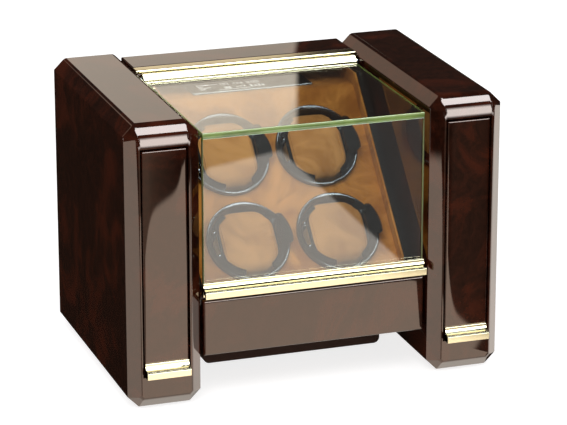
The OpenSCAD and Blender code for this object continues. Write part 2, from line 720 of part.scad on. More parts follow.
left_pillar();
right_pillar();
felt_pads();
left_side_panel();
right_side_panel();
bay_spacers();
bay_bolts();
base_board();
back_panel();
back_screws();
top_rail();
hinge_strip();
hinge_bushes();
front_sill();
rotor_panel();
shelf_board();
suede_lining();
display_panel();
chassis_plate();
chassis_pillars();
rotor_motors();
drawer_runners();
battery_housing();
battery_door();
battery_cells();
power_inlet();
switch_body();
switch_rocker();
control_board();
hood_top_pane();
hood_front_pane();
hood_pull();
hood_rail();
hinge_pins();
left_drawer_front();
left_drawer_pull();
left_drawer_tray();
right_drawer_front();
right_drawer_pull();
right_drawer_tray();
accessory_front();
accessory_box();
accessory_lining();
rotor(0);  // rotor_1
rotor(1);  // rotor_2
rotor(2);  // rotor_3
rotor(3);  // rotor_4
pinion(0);  // pinion_1
pinion(1);  // pinion_2
pinion(2);  // pinion_3
pinion(3);  // pinion_4
holder_frame(0);  // holder_frame_1
holder_frame(1);  // holder_frame_2
holder_frame(2);  // holder_frame_3
holder_frame(3);  // holder_frame_4
holder_cushion(0);  // holder_cushion_1
holder_cushion(1);  // holder_cushion_2
holder_cushion(2);  // holder_cushion_3
holder_cushion(3);  // holder_cushion_4
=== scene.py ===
"""Watch winder box: the looks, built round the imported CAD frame. MM turns lengths in mm into metres."""
import json
import math

import bmesh
import bpy
from mathutils import Matrix, Vector
from mathutils.bvhtree import BVHTree
from mathutils.geometry import tessellate_polygon


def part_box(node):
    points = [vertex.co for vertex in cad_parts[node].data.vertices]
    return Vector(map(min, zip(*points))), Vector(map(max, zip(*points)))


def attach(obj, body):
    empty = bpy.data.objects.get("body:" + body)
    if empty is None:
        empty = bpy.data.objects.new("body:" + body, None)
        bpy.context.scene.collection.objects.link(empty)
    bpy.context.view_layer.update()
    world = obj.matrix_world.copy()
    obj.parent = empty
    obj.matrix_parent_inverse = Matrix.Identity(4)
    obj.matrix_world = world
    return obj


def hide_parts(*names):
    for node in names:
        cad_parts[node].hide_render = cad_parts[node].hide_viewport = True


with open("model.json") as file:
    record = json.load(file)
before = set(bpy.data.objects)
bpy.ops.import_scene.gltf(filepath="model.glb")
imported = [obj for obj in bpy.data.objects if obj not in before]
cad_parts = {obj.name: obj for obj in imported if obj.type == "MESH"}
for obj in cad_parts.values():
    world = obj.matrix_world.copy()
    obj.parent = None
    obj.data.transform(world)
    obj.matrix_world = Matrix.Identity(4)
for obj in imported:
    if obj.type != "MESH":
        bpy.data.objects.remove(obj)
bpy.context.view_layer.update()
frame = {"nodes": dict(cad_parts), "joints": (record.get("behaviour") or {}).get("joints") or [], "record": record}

MM = 0.001


# ---------------------------------------------------------------- node trees
def node(tree, kind, inputs=None, **attrs):
    """A shader node with its attributes set, and its inputs set or linked."""
    n = tree.nodes.new(kind)
    for key, value in attrs.items():
        setattr(n, key, value)
    for key, value in (inputs or {}).items():
        socket = n.inputs[key]
        if isinstance(value, bpy.types.NodeSocket):
            tree.links.new(value, socket)
        else:
            socket.default_value = value
    return n


def calc(tree, op, a, b=0.0, c=0.0):
    return node(tree, "ShaderNodeMath", {0: a, 1: b, 2: c}, operation=op).outputs[0]


def times(tree, a, b):
    return calc(tree, "MULTIPLY", a, b)


def step(tree, value, low, high, out_low=0.0, out_high=1.0):
    """A smooth step from out_low at low to out_high at high."""
    return node(
        tree, "ShaderNodeMapRange",
        {"Value": value, "From Min": low, "From Max": high, "To Min": out_low, "To Max": out_high},
        interpolation_type="SMOOTHSTEP",
    ).outputs[0]


def mix(tree, factor, a, b, blend="MIX"):
    n = node(tree, "ShaderNodeMix", {0: factor}, data_type="RGBA", blend_type=blend)
    for key, value in ((6, a), (7, b)):
        if isinstance(value, bpy.types.NodeSocket):
            tree.links.new(value, n.inputs[key])
        else:
            n.inputs[key].default_value = (*value, 1)[:4]
    return n.outputs[2]


def noise(tree, scale, detail=4.0, rough=0.55, stretch=None, distortion=0.0):
    """Noise in the piece's own coordinates, in metres, stretched along its axes."""
    at = node(tree, "ShaderNodeTexCoord").outputs["Object"]
    if stretch:
        at = node(tree, "ShaderNodeMapping", {"Vector": at, "Scale": stretch}).outputs[0]
    return node(
        tree, "ShaderNodeTexNoise",
        {"Vector": at, "Scale": scale, "Detail": detail, "Roughness": rough, "Distortion": distortion},
    ).outputs["Fac"]


def ramp(tree, value, stops):
    n = node(tree, "ShaderNodeValToRGB", {0: value})
    e = n.color_ramp.elements
    while len(e) < len(stops):
        e.new(0.5)
    for el, (at, colour) in zip(e, stops):
        el.position, el.color = at, (*colour, 1)
    return n.outputs[0]


def bump(tree, height, strength, distance):
    return node(
        tree, "ShaderNodeBump", {"Height": height, "Strength": strength, "Distance": distance}
    ).outputs[0]


def material(name, **inputs):
    """A material with one Principled shader. Returns it with its tree and shader."""
    m = bpy.data.materials.new(name)
    m.use_nodes = True
    tree = m.node_tree
    shader = tree.nodes["Principled BSDF"]
    for key, value in inputs.items():
        shader.inputs[key.replace("_", " ")].default_value = value
    return m, tree, shader


def feed(tree, shader, name, socket):
    tree.links.new(socket, shader.inputs[name])


# ---------------------------------------------------------------- materials
LACQUER_IOR = 1.62
GLASS_IOR = 1.7
MARK_GLOW = 0.45
# how far below a pane's top its painted highlight on the arris starts and is full, and how far its lower part
# fades
ARRIS_HIGHLIGHT_START_BELOW, ARRIS_HIGHLIGHT_FULL_BELOW, EDGE_FADE = 0.0022, 0.0006, 0.004


def make_lacquer(name, dark, mid, red):
    """Burl veneer under a thick polished lacquer: clouds of red in dark brown, with fine figure."""
    m, t, s = material(name, IOR=LACQUER_IOR, Roughness=0.015, Specular_Tint=(1.0, 0.79, 0.67, 1))
    clouds = noise(t, 16, 5, 0.6, None, 1.4)
    figure = noise(t, 75, 6, 0.65, None, 2.2)
    fine = noise(t, 420, 3, 0.5, (1.6, 1.6, 0.35))
    blotch = step(t, clouds, 0.46, 0.66)
    colour = mix(t, step(t, figure, 0.35, 0.68), dark, mid)
    colour = mix(t, times(t, blotch, 0.75), colour, red)
    colour = mix(t, times(t, step(t, fine, 0.45, 0.75), 0.2), colour, dark)
    feed(t, s, "Base Color", colour)
    return m


def make_brass():
    """Polished brass, written darker than it renders, to suit the bright studio that it mirrors."""
    m, t, s = material("polished_brass", Metallic=1.0, Specular_Tint=(1.0, 0.97, 0.88, 1))
    cloud = noise(t, 14, 2, 0.5)
    wear = noise(t, 60, 4, 0.6)
    feed(t, s, "Base Color", mix(t, cloud, (0.53, 0.46, 0.295), (0.57, 0.505, 0.335)))
    feed(t, s, "Roughness", step(t, wear, 0.3, 0.75, 0.10, 0.14))
    feed(t, s, "Normal", bump(t, cloud, 0.02, 0.00005))
    return m


def make_suede(name="tan_suede", light=(0.67, 0.29, 0.058), dark=(0.36, 0.128, 0.02)):
    m, t, s = material(
        name, Roughness=0.95, Specular_IOR_Level=0.05, Sheen_Weight=0.12, Sheen_Roughness=0.4,
        Sheen_Tint=(1.0, 0.85, 0.62, 1),
    )
    nap = noise(t, 26, 5, 0.62, None, 0.8)
    brush = noise(t, 110, 4, 0.6, (1, 0.45, 0.45), 0.5)
    fibre = noise(t, 2600, 2, 0.5)
    colour = mix(t, step(t, nap, 0.38, 0.62), dark, light)
    colour = mix(t, times(t, step(t, brush, 0.45, 0.72), 0.35), colour, light)
    colour = mix(t, times(t, fibre, 0.22), colour, dark)
    feed(t, s, "Base Color", colour)
    feed(t, s, "Normal", bump(t, fibre, 0.35, 0.00025))
    return m


def make_gloss(name, colour, rough=0.03):
    """Moulded plastic with a faint orange peel."""
    m, t, s = material(name, Specular_IOR_Level=0.5, Coat_Weight=0.6, Coat_Roughness=0.03)
    peel = noise(t, 300, 2, 0.5)
    cloud = noise(t, 40, 3, 0.5)
    feed(t, s, "Base Color", mix(t, cloud, colour, tuple(c * 1.5 + 0.003 for c in colour)))
    feed(t, s, "Roughness", step(t, cloud, 0.3, 0.7, rough, rough * 1.8))
    feed(t, s, "Normal", bump(t, peel, 0.02, 0.0002))
    return m


def make_metal(name, colour, rough):
    m, t, s = material(name, Metallic=1.0)
    grain = noise(t, 500, 3, 0.6, (0.1, 1, 1))
    feed(t, s, "Base Color", mix(t, grain, colour, tuple(c * 0.85 for c in colour)))
    feed(t, s, "Roughness", step(t, grain, 0.2, 0.8, rough, rough * 1.5))
    feed(t, s, "Normal", bump(t, grain, 0.08, 0.0001))
    return m


def make_matte(name, a, b, scale, rough=0.8, relief=0.0002, shine=0.3, glow=0.0):
    m, t, s = material(name, Roughness=rough, Specular_IOR_Level=shine, Emission_Strength=glow)
    s.inputs["Emission Color"].default_value = (*a, 1)
    n = noise(t, scale, 5, 0.6)
    feed(t, s, "Base Color", mix(t, n, a, b))
    feed(t, s, "Normal", bump(t, n, 0.3, relief))
    return m


def make_inner_wood():
    m, t, s = material("inner_wood", Specular_IOR_Level=0.35)
    rings = noise(t, 30, 6, 0.65, (3.5, 0.4, 3.5), 1.2)
    pores = noise(t, 900, 2, 0.5, (1, 0.08, 1))
    colour = ramp(t, rings, [
        (0.3, (0.14, 0.07, 0.032)), (0.5, (0.22, 0.12, 0.06)), (0.7, (0.30, 0.17, 0.09)),
    ])
    pore = times(t, step(t, pores, 0.55, 0.8), 0.5)
    feed(t, s, "Base Color", mix(t, pore, colour, (0.09, 0.045, 0.02)))
    feed(t, s, "Roughness", step(t, rings, 0.3, 0.7, 0.38, 0.52))
    feed(t, s, "Normal", bump(t, pores, 0.12, 0.0001))
    return m


def let_lamps_through(m, t, s, tint=(1, 1, 1, 1)):
    """Lamps, diffuse light and reflected rays pass straight through this glass."""
    path = node(t, "ShaderNodeLightPath").outputs
    through = calc(t, "MAXIMUM", path["Is Shadow Ray"], path["Is Diffuse Ray"])
    mirrored = calc(t, "SUBTRACT", path["Is Glossy Ray"], path["Is Transmission Ray"])
    # a ray that was mirrored inside the pane still bends on its way out
    within = calc(t, "LESS_THAN", path["Transparent Depth"], 0.5)
    within = times(t, within, node(t, "ShaderNodeNewGeometry").outputs["Backfacing"])
    through = calc(t, "MAXIMUM", through, calc(t, "SUBTRACT", mirrored, within))
    clear = node(t, "ShaderNodeBsdfTransparent", {"Color": tint}).outputs[0]
    both = node(t, "ShaderNodeMixShader", {0: through, 1: s.outputs[0], 2: clear}).outputs[0]
    t.links.new(both, t.nodes["Material Output"].inputs["Surface"])
    return m


def make_glass():
    m, t, s = material("clear_glass", Transmission_Weight=1.0, IOR=GLASS_IOR, Roughness=0.0)
    smear = noise(t, 18, 3, 0.5)
    feed(t, s, "Base Color", mix(t, smear, (0.97, 0.99, 0.965), (0.985, 0.995, 0.98)))
    return let_lamps_through(m, t, s, (0.96, 0.98, 0.96, 1))


def make_glass_edge(pane_top, pane_low):
    """The polished rim of a pane, where light has run through its whole width, with a painted highlight at its
    top.
    """
    m, t, s = material(
        "green_glass_edge", Roughness=0.15, Specular_IOR_Level=0.5, Coat_Weight=0.6, Coat_Roughness=0.02,
    )
    z = node(t, "ShaderNodeSeparateXYZ", {0: node(t, "ShaderNodeTexCoord").outputs["Object"]}).outputs["Z"]
    along = noise(t, 30, 3, 0.6)
    streak = noise(t, 300, 3, 0.6, (0.05, 6, 6))
    colour = mix(t, step(t, along, 0.35, 0.65), (0.10, 0.17, 0.022), (0.21, 0.33, 0.06))
    # painted highlight: the edge turns pale towards the pane's top arris
    rim = step(t, z, pane_top - ARRIS_HIGHLIGHT_START_BELOW, pane_top - ARRIS_HIGHLIGHT_FULL_BELOW)
    colour = mix(t, times(t, rim, 0.75), colour, (0.48, 0.60, 0.24))
    colour = mix(t, times(t, step(t, streak, 0.5, 0.7), 0.45), colour, (0.42, 0.55, 0.28))
    down = step(t, z, pane_low, pane_low - EDGE_FADE)
    colour = mix(t, times(t, down, 0.7), colour, (0.30, 0.33, 0.19))
    feed(t, s, "Base Color", colour)
    return m


def make_display():
    m, t, s = material(
        "display_window", Roughness=0.1, Specular_IOR_Level=0.5, Coat_Weight=1.0, Coat_Roughness=0.02,
    )
    n = noise(t, 50, 3, 0.5)
    feed(t, s, "Base Color", mix(t, n, (0.010, 0.011, 0.012), (0.022, 0.024, 0.026)))
    return m


LACQUER = make_lacquer(
    "burl_lacquer", (0.012, 0.0034, 0.0019), (0.027, 0.0072, 0.0038), (0.068, 0.0125, 0.0050))
DARK_LACQUER = make_lacquer(
    "dark_lacquer", (0.0085, 0.003, 0.002), (0.015, 0.0048, 0.003), (0.026, 0.0068, 0.0036))
BRASS = make_brass()
SUEDE = make_suede()
CUSHION = make_suede("cushion_suede", (0.60, 0.30, 0.095), (0.40, 0.175, 0.045))
BLACK = make_gloss("black_gloss", (0.006, 0.006, 0.0065))
GLASS = make_glass()
GLASS_EDGE = make_glass_edge(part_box("hood_top_pane")[1].z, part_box("hood_top_pane")[0].z)
DISPLAY = make_display()
MARKS = make_matte("display_marks", (0.82, 0.84, 0.84), (0.7, 0.73, 0.74), 200, 0.6, 0.00002, 0.3, MARK_GLOW)
INNER_WOOD = make_inner_wood()
STEEL = make_metal("steel", (0.55, 0.55, 0.56), 0.24)
ALUMINIUM = make_metal("aluminium", (0.68, 0.69, 0.70), 0.32)
FELT = make_matte("felt", (0.012, 0.012, 0.012), (0.03, 0.03, 0.03), 1800, 0.97, 0.0004)
BLACK_PLASTIC = make_matte("black_plastic", (0.012, 0.012, 0.013), (0.022, 0.022, 0.024), 900, 0.5, 0.0001)
WHITE_PLASTIC = make_matte("white_plastic", (0.72, 0.70, 0.64), (0.8, 0.78, 0.72), 500, 0.45, 0.0001)
CIRCUIT = make_matte("circuit", (0.015, 0.09, 0.03), (0.03, 0.14, 0.05), 260, 0.4, 0.0001)
# painted shade: the housing sits in a recess, so it gets a dull dark brown in place of its lacquer
HOUSING_SHADE = make_matte("shaded_housing_brown", (0.024, 0.0105, 0.0065), (0.034, 0.015, 0.0095), 300, 0.62, 0.00005, 0.08)
CELL = make_metal("cell", (0.62, 0.45, 0.16), 0.3)

MATERIALS = {
    "lacquered_burl": LACQUER, "dark_lacquer": DARK_LACQUER, "inner_wood": INNER_WOOD, "brass": BRASS,
    "suede": SUEDE, "black_gloss": BLACK, "glass": GLASS, "display": DISPLAY, "steel": STEEL,
    "aluminium": ALUMINIUM, "felt": FELT, "black_plastic": BLACK_PLASTIC, "white_plastic": WHITE_PLASTIC,
    "circuit": CIRCUIT, "cell": CELL,
}


# ---------------------------------------------------------------- meshes
def add_piece(name, mesh, body, mats, nodes=(), smooth=True):
    """Puts a mesh, whose vertices are in the row frame in metres, into the scene on a body."""
    mesh.validate()
    mesh.update()
    o = bpy.data.objects.new(name, mesh)
    bpy.context.scene.collection.objects.link(o)
    for m in mats:
        mesh.materials.append(m)
    mesh.polygons.foreach_set("use_smooth", [smooth] * len(mesh.polygons))
    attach(o, body)
    if nodes:
        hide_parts(*nodes)
    return o


def mesh_of(name, verts, faces):
    mesh = bpy.data.meshes.new(name)
    mesh.from_pydata([tuple(v) for v in verts], [], faces)
    bm = bmesh.new()
    bm.from_mesh(mesh)
    bmesh.ops.remove_doubles(bm, verts=bm.verts, dist=1e-7)
    bmesh.ops.recalc_face_normals(bm, faces=bm.faces)
    bm.to_mesh(mesh)
    bm.free()
    return mesh


def tube_faces(n, rows, start=0):
    """Quads between closed loops of n points each, which follow one another from vertex start."""
    return [
        (b + i, b + (i + 1) % n, b + n + (i + 1) % n, b + n + i)
        for b in range(start, start + (rows - 1) * n, n) for i in range(n)
    ]


def end_caps(n, rows):
    return [tuple(range(n)), tuple(range((rows - 1) * n, rows * n))]


def flat_normals(o):
    """Keeps flat faces flat in the shading, and their rounded edges round."""
    mod = o.modifiers.new("normals", "WEIGHTED_NORMAL")
    mod.keep_sharp = True
    mod.weight = 80


def soften(o, width, segments=2, angle=35):
    """Rounds a piece's edges with modifiers, after merging its flat faces."""
    weld = o.modifiers.new("weld", "WELD")
    weld.merge_threshold = 1e-6
    flat = o.modifiers.new("flat", "DECIMATE")
    flat.decimate_type = "DISSOLVE"
    flat.angle_limit = math.radians(1)
    bevel = o.modifiers.new("bevel", "BEVEL")
    bevel.width, bevel.segments = width * MM, segments
    bevel.limit_method, bevel.angle_limit = "ANGLE", math.radians(angle)
    bevel.miter_outer = "MITER_ARC"
    flat_normals(o)


def evaluated(o):
    """The mesh with its modifiers applied, as a new mesh."""
    bpy.context.view_layer.update()
    return bpy.data.meshes.new_from_object(o.evaluated_get(bpy.context.evaluated_depsgraph_get()))


def round_corners(points, radius, n=3):
    """A closed outline with each corner rounded, in the same units."""
    out = []
    count = len(points)
    for i, p in enumerate(points):
        p = Vector(p)
        a, b = Vector(points[i - 1]) - p, Vector(points[(i + 1) % count]) - p
        la, lb = a.length, b.length
        a, b = a / la, b / lb
        half = a.angle(b) / 2
        if half > math.radians(86):
            out.append(p)
            continue
        cut = min(radius / math.tan(half), 0.48 * la, 0.48 * lb)
        start, end = p + a * cut, p + b * cut
        for k in range(n + 1):
            f = k / n
            out.append(start * (1 - f) ** 2 + p * 2 * f * (1 - f) + end * f ** 2)
    return out


def inset(points, d):
    """Moves a closed outline's points inwards by d along their own normals."""
    area = sum(a.x * b.y - b.x * a.y for a, b in zip(points, points[1:] + points[:1])) / 2
    out = []
    for i, p in enumerate(points):
        t = points[(i + 1) % len(points)] - points[i - 1]
        n = Vector((-t.y, t.x)).normalized() * (1 if area > 0 else -1)
        out.append(p + n * d)
    return out


def bar(name, outline, x0, x1, radius, end, body, mat, nodes=(), corner=3):
    """A bar along X with a (y, z) outline in mm, rounded along its length and at its ends."""
    ring = round_corners([Vector(p) for p in outline], radius, corner)
    small = inset(ring, end * 0.7)
    mid = inset(ring, end * 0.2)
    sections = [
        (x0, small), (x0 + end * 0.25, mid), (x0 + end, ring),
        (x1 - end, ring), (x1 - end * 0.25, mid), (x1, small),
    ]
    verts = [(x * MM, p.x * MM, p.y * MM) for x, r in sections for p in r]
    n = len(ring)
    faces = tube_faces(n, len(sections)) + end_caps(n, len(sections))
    o = add_piece(name, mesh_of(name, verts, faces), body, [mat], nodes)
    flat_normals(o)
    return o


def grid_lines(a, b, edge, n_edge, n_mid):
    """Grid lines from a to b, close together within edge of either end."""
    e = [edge * (1 - math.cos(math.pi / 2 * k / n_edge)) for k in range(n_edge + 1)]
    inner = [a + edge + (b - a - 2 * edge) * k / n_mid for k in range(1, n_mid)]
    return [a + v for v in e] + inner + [b - v for v in reversed(e)]


def round_off(d, r):
    """How far a rounded edge of radius r has fallen away at distance d from the side."""
    return 0.0 if d >= r else r - math.sqrt(max(0.0, r * r - (r - d) ** 2))


def crowned_slab(name, lo, hi, r_side, r_top, crown, body, mat, nodes=(), back=0.8):
    """A slab in mm whose face towards -Y falls away slightly at its sides and rolls off at its edges."""
    x0, y0, z0 = lo
    x1, y1, z1 = hi
    xs = grid_lines(x0, x1, r_side, 6, 40)
    zs = grid_lines(z0, z1, r_top, 5, 40)
    cx, hx = (x0 + x1) / 2, (x1 - x0) / 2
    cz, hz = (z0 + z1) / 2, (z1 - z0) / 2

    def face_y(x, z):
        drop = crown * (abs(x - cx) / hx) ** 6 + crown * (abs(z - cz) / hz) ** 40
        rolled = max(round_off(min(x - x0, x1 - x), r_side), round_off(min(z - z0, z1 - z), r_top))
        return y0 + drop + rolled

    verts = [(x * MM, face_y(x, z) * MM, z * MM) for z in zs for x in xs]
    nx, nz = len(xs), len(zs)
    faces = [
        (j * nx + i, j * nx + i + 1, (j + 1) * nx + i + 1, (j + 1) * nx + i)
        for j in range(nz - 1) for i in range(nx - 1)
    ]
    rim = list(range(nx)) + [j * nx + nx - 1 for j in range(1, nz)]
    rim += [(nz - 1) * nx + i for i in range(nx - 2, -1, -1)] + [j * nx for j in range(nz - 2, 0, -1)]
    base = len(verts)
    for depth, pull in ((y1 - back, 0.0), (y1, back)):
        for k in rim:
            x, z = verts[k][0], verts[k][2]
            x += math.copysign(min(pull * MM, abs(x - cx * MM)), cx * MM - x)
            z += math.copysign(min(pull * MM, abs(z - cz * MM)), cz * MM - z)
            verts.append((x, depth * MM, z))
    n = len(rim)
    faces += [(rim[k], rim[(k + 1) % n], base + (k + 1) % n, base + k) for k in range(n)]
    faces += [(base + k, base + (k + 1) % n, base + n + (k + 1) % n, base + n + k) for k in range(n)]
    faces.append(tuple(base + n + k for k in range(n)))
    o = add_piece(name, mesh_of(name, verts, faces), body, [mat], nodes)
    flat_normals(o)
    return o


def in_mm(box):
    return [v / MM for v in box[0]], [v / MM for v in box[1]]


# ---------------------------------------------------------------- towers
TOWER_BEVEL = 9.3
SLOT_HALF = 19.7
SLOT_FOOT, SLOT_TOP = 28.6, 217.4
TOWER_BACK = 10.0
TOP_CUT = 11.2
# the upright corners' cut: at the front and rear faces, and how fast it grows towards the sides
FACE_CUT, CUT_GROWTH = 2.2, 1.6
# turns as (run along the side, run along the cut)
CRISP, SOFT = (0.5, 0.6), (2.0, 2.4)
SLOT_RIM = 0.4


def bezier(a, b, c, n=9):
    """Points of a smooth turn from a to c, with its corner at b."""
    return [a * (1 - t) ** 2 + b * 2 * t * (1 - t) + c * t ** 2 for t in (k / n for k in range(n + 1))]


def routed(lo, hi, corners):
    """Rectangle with its corners cut at 45 degrees, each end of a cut turned smoothly into its side.

    corners gives, from low-low round to low-high, the cut's leg, and how far the turn at its v end
    and the one at its u end run along the side and along the cut.
    """
    points = []
    for k, (cut, v_end, u_end) in enumerate(corners):
        corner = Vector((lo[0] if k in (0, 3) else hi[0], lo[1] if k < 2 else hi[1]))
        du, dv = Vector((1 if k in (0, 3) else -1, 0)), Vector((0, 1 if k < 2 else -1))
        a, b = corner + dv * cut, corner + du * cut
        along = (b - a).normalized()
        run = bezier(a + dv * v_end[0], a, a + along * v_end[1])
        run += bezier(b - along * u_end[1], b, b + du * u_end[0])
        points += run if k in (0, 2) else run[::-1]
    return points


def edge_profile(cut, front, outer):
    """Turn of a front edge, from the face to the side: (distance in from the side, depth) pairs."""
    a, b = Vector((cut, 0)), Vector((0, cut))
    along = (b - a).normalized()
    run = bezier(a + Vector((front[0], 0)), a, a + along * front[1])
    return run + bezier(b - along * outer[1], b, b + Vector((0, outer[0])))


def tower_rings(lo, hi, top, side, bottom, back):
    """Closed loops round the tower, from the front face to the rear one."""
    rings = []
    for profiles, y0, way in (((top, side, bottom), lo[1], 1), ((back, back, back), hi[1], -1)):
        loops = []
        for t, s, b in zip(*profiles):
            share = 1 - s.x / profiles[1][0].x
            cut = FACE_CUT + (TOWER_BEVEL - FACE_CUT) * share ** CUT_GROWTH
            k = cut / TOWER_BEVEL
            turns = [tuple(v * k for v in turn) for turn in (CRISP, SOFT)]
            low, high = (cut, turns[0], turns[0]), (cut, turns[0], turns[1])
            points = routed(
                (lo[0] + s.x, lo[2] + b.x), (hi[0] - s.x, hi[2] - t.x), [low, low, high, high])
            n = len(points) // 4
            loop = []
            for corner, (first, last) in enumerate(((s, b), (b, s), (s, t), (t, s))):
                for j in range(n):
                    w = j / (n - 1)
                    depth = first.y + (last.y - first.y) * w * w * (3 - 2 * w)
                    point = points[corner * n + j]
                    loop.append((point.x, y0 + way * depth, point.y))
            loops.append(loop)
        rings += loops if way == 1 else loops[::-1]
    return rings


def ring_mesh(name, rings):
    """Closed mesh through loops of equal length, in millimetres."""
    n = len(rings[0])
    verts = [[c * MM for c in p] for ring in rings for p in ring]
    return mesh_of(name, verts, end_caps(n, len(rings)) + tube_faces(n, len(rings)))


def hull_mesh(name, points):
    """The convex hull of points in mm."""
    bm = bmesh.new()
    for p in points:
        bm.verts.new([v * MM for v in p])
    bmesh.ops.convex_hull(bm, input=bm.verts)
    bmesh.ops.dissolve_limit(bm, angle_limit=0.01, verts=bm.verts, edges=bm.edges)
    mesh = bpy.data.meshes.new(name)
    bm.to_mesh(mesh)
    bm.free()
    return mesh


def make_tower(side):
    """A tower turned through rings, with the drawer's slot cut into its front."""
    node_name = f"{side}_pillar"
    lo, hi = in_mm(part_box(node_name))
    cx = (lo[0] + hi[0]) / 2
    top = edge_profile(TOP_CUT, (5.4, 6.6), (4.3, 4.3))
    flank = edge_profile(TOWER_BEVEL, (0.6, 2.6), CRISP)
    plain = edge_profile(TOWER_BEVEL, (1.5, 2.0), CRISP)
    rings = tower_rings(lo, hi, top, flank, plain, plain)
    body = bpy.data.objects.new("tower_blank", ring_mesh(node_name, rings))
    cutter = bpy.data.objects.new("tower_cutter", hull_mesh("cutter", [
        (cx + a * SLOT_HALF, y, z)
        for a in (-1, 1) for y in (lo[1] - 5, hi[1] - TOWER_BACK) for z in (SLOT_FOOT, SLOT_TOP)
    ]))
    for o in (body, cutter):
        bpy.context.scene.collection.objects.link(o)
    hole = body.modifiers.new("hole", "BOOLEAN")
    hole.object, hole.operation, hole.solver = cutter, "DIFFERENCE", "EXACT"
    rim = body.modifiers.new("rim", "BEVEL")
    rim.width, rim.segments, rim.limit_method = SLOT_RIM * MM, 2, "ANGLE"
    rim.angle_limit = math.radians(50)
    done = evaluated(body)
    done.name = node_name
    for o in (body, cutter):
        bpy.data.objects.remove(o)
    piece = add_piece(f"{side}_tower", done, "root", [LACQUER], [node_name])
    flat_normals(piece)


def pull_outline(y, z, out=8.0, h=11.4, t=1.6):
    """A pull's outline: back flange, shelf falling forwards, and a lip with a finger gap behind it."""
    return [
        (y, z), (y - t, z), (y - t, z + h * 0.42), (y - out + t, z + h * 0.38), (y - out + t, z),
        (y - out, z), (y - out, z + h * 0.46), (y - out + 0.7, z + h * 0.53), (y - t - 2.4, z + h * 0.6),
        (y - t - 0.8, z + h * 0.68), (y - t, z + h * 0.8), (y - t, z + h), (y, z + h),
    ]


def make_drawer(side):
    body = f"{side}_drawer"
    lo, hi = in_mm(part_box(f"{side}_drawer_front"))
    crowned_slab(f"{side}_drawer_panel", lo, hi, 0.9, 0.9, 0.05, body, LACQUER,
                 [f"{side}_drawer_front"])
    plo, phi = in_mm(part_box(f"{side}_drawer_pull"))
    outline = pull_outline(phi[1], plo[2])
    bar(f"{side}_drawer_handle", outline, plo[0], phi[0], 0.3, 0.35, body, BRASS,
        [f"{side}_drawer_pull"])


# ---------------------------------------------------------------- centre bay
def make_bay():
    lo, hi = in_mm(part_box("accessory_front"))
    crowned_slab("accessory_panel", lo, hi, 1.6, 1.2, 0.02, "accessory_drawer", LACQUER,
                 ["accessory_front"])
    lo, hi = in_mm(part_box("top_rail"))
    slo, shi = in_mm(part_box("hinge_strip"))
    bar("rear_rail", [
        (slo[1], lo[2]), (hi[1], lo[2]), (hi[1], hi[2]), (shi[1], hi[2]), (shi[1], slo[2]), (slo[1], slo[2]),
    ], lo[0], hi[0], 1.2, 1.2, "root", LACQUER, ["top_rail"], 4)
    bar("rear_strip", [
        (slo[1], slo[2]), (shi[1], slo[2]), (shi[1], shi[2]), (slo[1], shi[2]),
    ], slo[0], shi[0], 0.8, 0.3, "root", BRASS, ["hinge_strip"])
    for side in ("left", "right"):
        soften(frame["nodes"][f"{side}_side_panel"], 0.8, 3)


# ---------------------------------------------------------------- hood
JAW = 1.4  # thickness of the rear rail's jaws above and below the pane


def make_pane(name, node_name, rims):
    """A glass pane with a fine arris. rims are the axes whose two ends are green polished edges."""
    lo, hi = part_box(node_name)
    mesh = hull_mesh(name, [[(lo, hi)[s][k] / MM for k, s in enumerate(c)] for c in
                            [(a, b, d) for a in (0, 1) for b in (0, 1) for d in (0, 1)]])
    bm = bmesh.new()
    bm.from_mesh(mesh)
    bmesh.ops.bevel(bm, geom=bm.edges[:], offset=0.45 * MM, segments=2, profile=0.5, affect="EDGES")
    bm.normal_update()
    for f in bm.faces:
        main = max(range(3), key=lambda k: abs(f.normal[k]))
        f.material_index = 1 if main in rims or abs(f.normal[main]) < 0.97 else 0
    bm.to_mesh(mesh)
    bm.free()
    o = add_piece(name, mesh, "hood", [GLASS, GLASS_EDGE], [node_name])
    flat_normals(o)


def make_hood():
    make_pane("top_glass", "hood_top_pane", (0, 1))
    make_pane("front_glass", "hood_front_pane", (0,))
    lo, hi = in_mm(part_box("hood_pull"))
    glo, ghi = in_mm(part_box("hood_front_pane"))
    seat = glo[2]
    outline = pull_outline(glo[1], lo[2])
    outline = outline[1:] + [(glo[1], seat), (ghi[1], seat), (ghi[1], lo[2])]
    bar("hood_handle", outline, lo[0], hi[0], 0.28, 0.35, "hood", BRASS, ["hood_pull"])
    lo, hi = in_mm(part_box("hood_rail"))
    tlo, thi = in_mm(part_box("hood_top_pane"))
    hinge = next(j for j in frame["joints"] if j["name"] == "hood_hinge")["pos_m"]
    cy, cz = hinge[1] / MM, hinge[2] / MM
    r = hi[1] - cy
    jaw_low, jaw_high = tlo[2] - JAW, thi[2] + JAW
    # the angle at which the round back meets the lower jaw
    foot = -180 + math.degrees(math.asin((cz - jaw_low) / r)) if cz - jaw_low < r else -90
    crest = cz + r
    fall = (crest - jaw_high) / 2
    points = [
        (thi[1], thi[2]), (lo[1], thi[2]), (lo[1], jaw_high), (lo[1] + 0.4, jaw_high),
        (lo[1] + 0.4 + fall, jaw_high + fall), (lo[1] + 1.6 + fall, jaw_high + fall),
        (lo[1] + 1.6 + 2 * fall, crest),
    ]
    points += [(cy + r * math.cos(math.radians(90 + (foot - 90) * k / 24)),
                cz + r * math.sin(math.radians(90 + (foot - 90) * k / 24))) for k in range(25)]
    points += [(lo[1], jaw_low), (lo[1], tlo[2]), (thi[1], tlo[2])]
    bar("hood_rear_rail", points, lo[0], hi[0], 0.3, 0.4, "hood", BRASS, ["hood_rail"])


